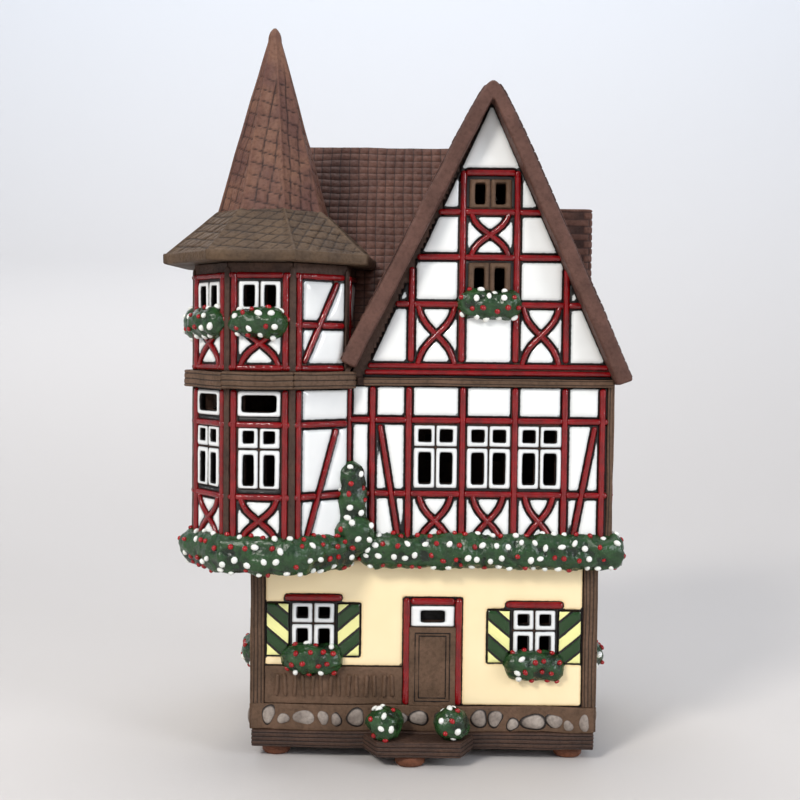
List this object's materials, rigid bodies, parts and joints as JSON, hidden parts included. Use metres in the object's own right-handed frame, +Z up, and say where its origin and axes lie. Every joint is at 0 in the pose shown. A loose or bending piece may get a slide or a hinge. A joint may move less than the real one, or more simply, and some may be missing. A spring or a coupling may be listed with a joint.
{
  "type": "half timbered tealight house",
  "caption": "Glazed ceramic model of a half timbered house with a corner turret, hollow for a tealight, with cut windows, incised roofs, shutters and a flower garland.",
  "frame": {"origin": "middle of the box round the whole house, on the level surface that its feet stand on", "axes": "+Z up; the door and the front gable face -Y; the turret is at the front's left, towards -X"},
  "size_m": [0.164, 0.1276, 0.261],
  "materials": {
    "plate_clay": "dark fired clay, matt, incised with plank lines",
    "foot_clay": "reddish fired clay, matt",
    "cream_glaze": "cream glaze over brown clay, glossy",
    "stone_clay": "brown clay with grey washed stones",
    "sign_clay": "dark brown clay, matt",
    "door_clay": "mid brown clay leaf in a red glazed frame",
    "window_glaze": "white glaze, glossy, edged with a dark line",
    "bare_clay": "bare brown clay, matt",
    "shutter_glaze": "green and pale yellow glazed stripes",
    "leaf_glaze": "rough green glaze with white and red drops",
    "white_glaze": "white glaze in puffed panels, glossy",
    "red_glaze": "deep red glaze, glossy, edged with a dark line",
    "roof_clay": "reddish brown clay, matt, incised with tiles"
  },
  "bodies": {
    "root": {"base_plate": "plate_clay", "base_feet": "foot_clay", "front_step": "plate_clay", "ground_front_wall": "cream_glaze", "ground_left_wall": "cream_glaze", "ground_right_wall": "cream_glaze", "ground_back_wall": "cream_glaze", "stone_band": "stone_clay", "sign_board": "sign_clay", "front_door": "door_clay", "ground_windows": "window_glaze", "ground_shutters": "shutter_glaze", "ground_flower_boxes": "leaf_glaze", "step_bushes": "leaf_glaze", "jetty_slab": "bare_clay", "upper_front_wall": "white_glaze", "upper_right_wall": "white_glaze", "upper_left_wall": "white_glaze", "upper_back_wall": "white_glaze", "upper_windows": "window_glaze", "upper_front_timbers": "red_glaze", "upper_side_timbers": "red_glaze", "upper_back_timbers": "red_glaze", "eave_beams": "bare_clay", "front_gable_wall": "white_glaze", "back_gable_wall": "white_glaze", "left_gable_wall": "white_glaze", "gable_windows": "bare_clay", "front_gable_timbers": "red_glaze", "back_gable_timbers": "red_glaze", "left_gable_timbers": "red_glaze", "gable_flower_box": "leaf_glaze", "gable_roof_left": "roof_clay", "gable_roof_right": "roof_clay", "side_roof_front": "roof_clay", "side_roof_back": "roof_clay", "chimney": "roof_clay", "turret_floor": "bare_clay", "turret_lower_walls": "white_glaze", "turret_ledge": "bare_clay", "turret_upper_walls": "white_glaze", "turret_windows": "window_glaze", "turret_timbers": "red_glaze", "turret_flower_boxes": "leaf_glaze", "turret_skirt_roof": "roof_clay", "turret_spire": "roof_clay", "garland": "leaf_glaze", "climbing_flowers": "leaf_glaze"}
  },
  "joints": []
}
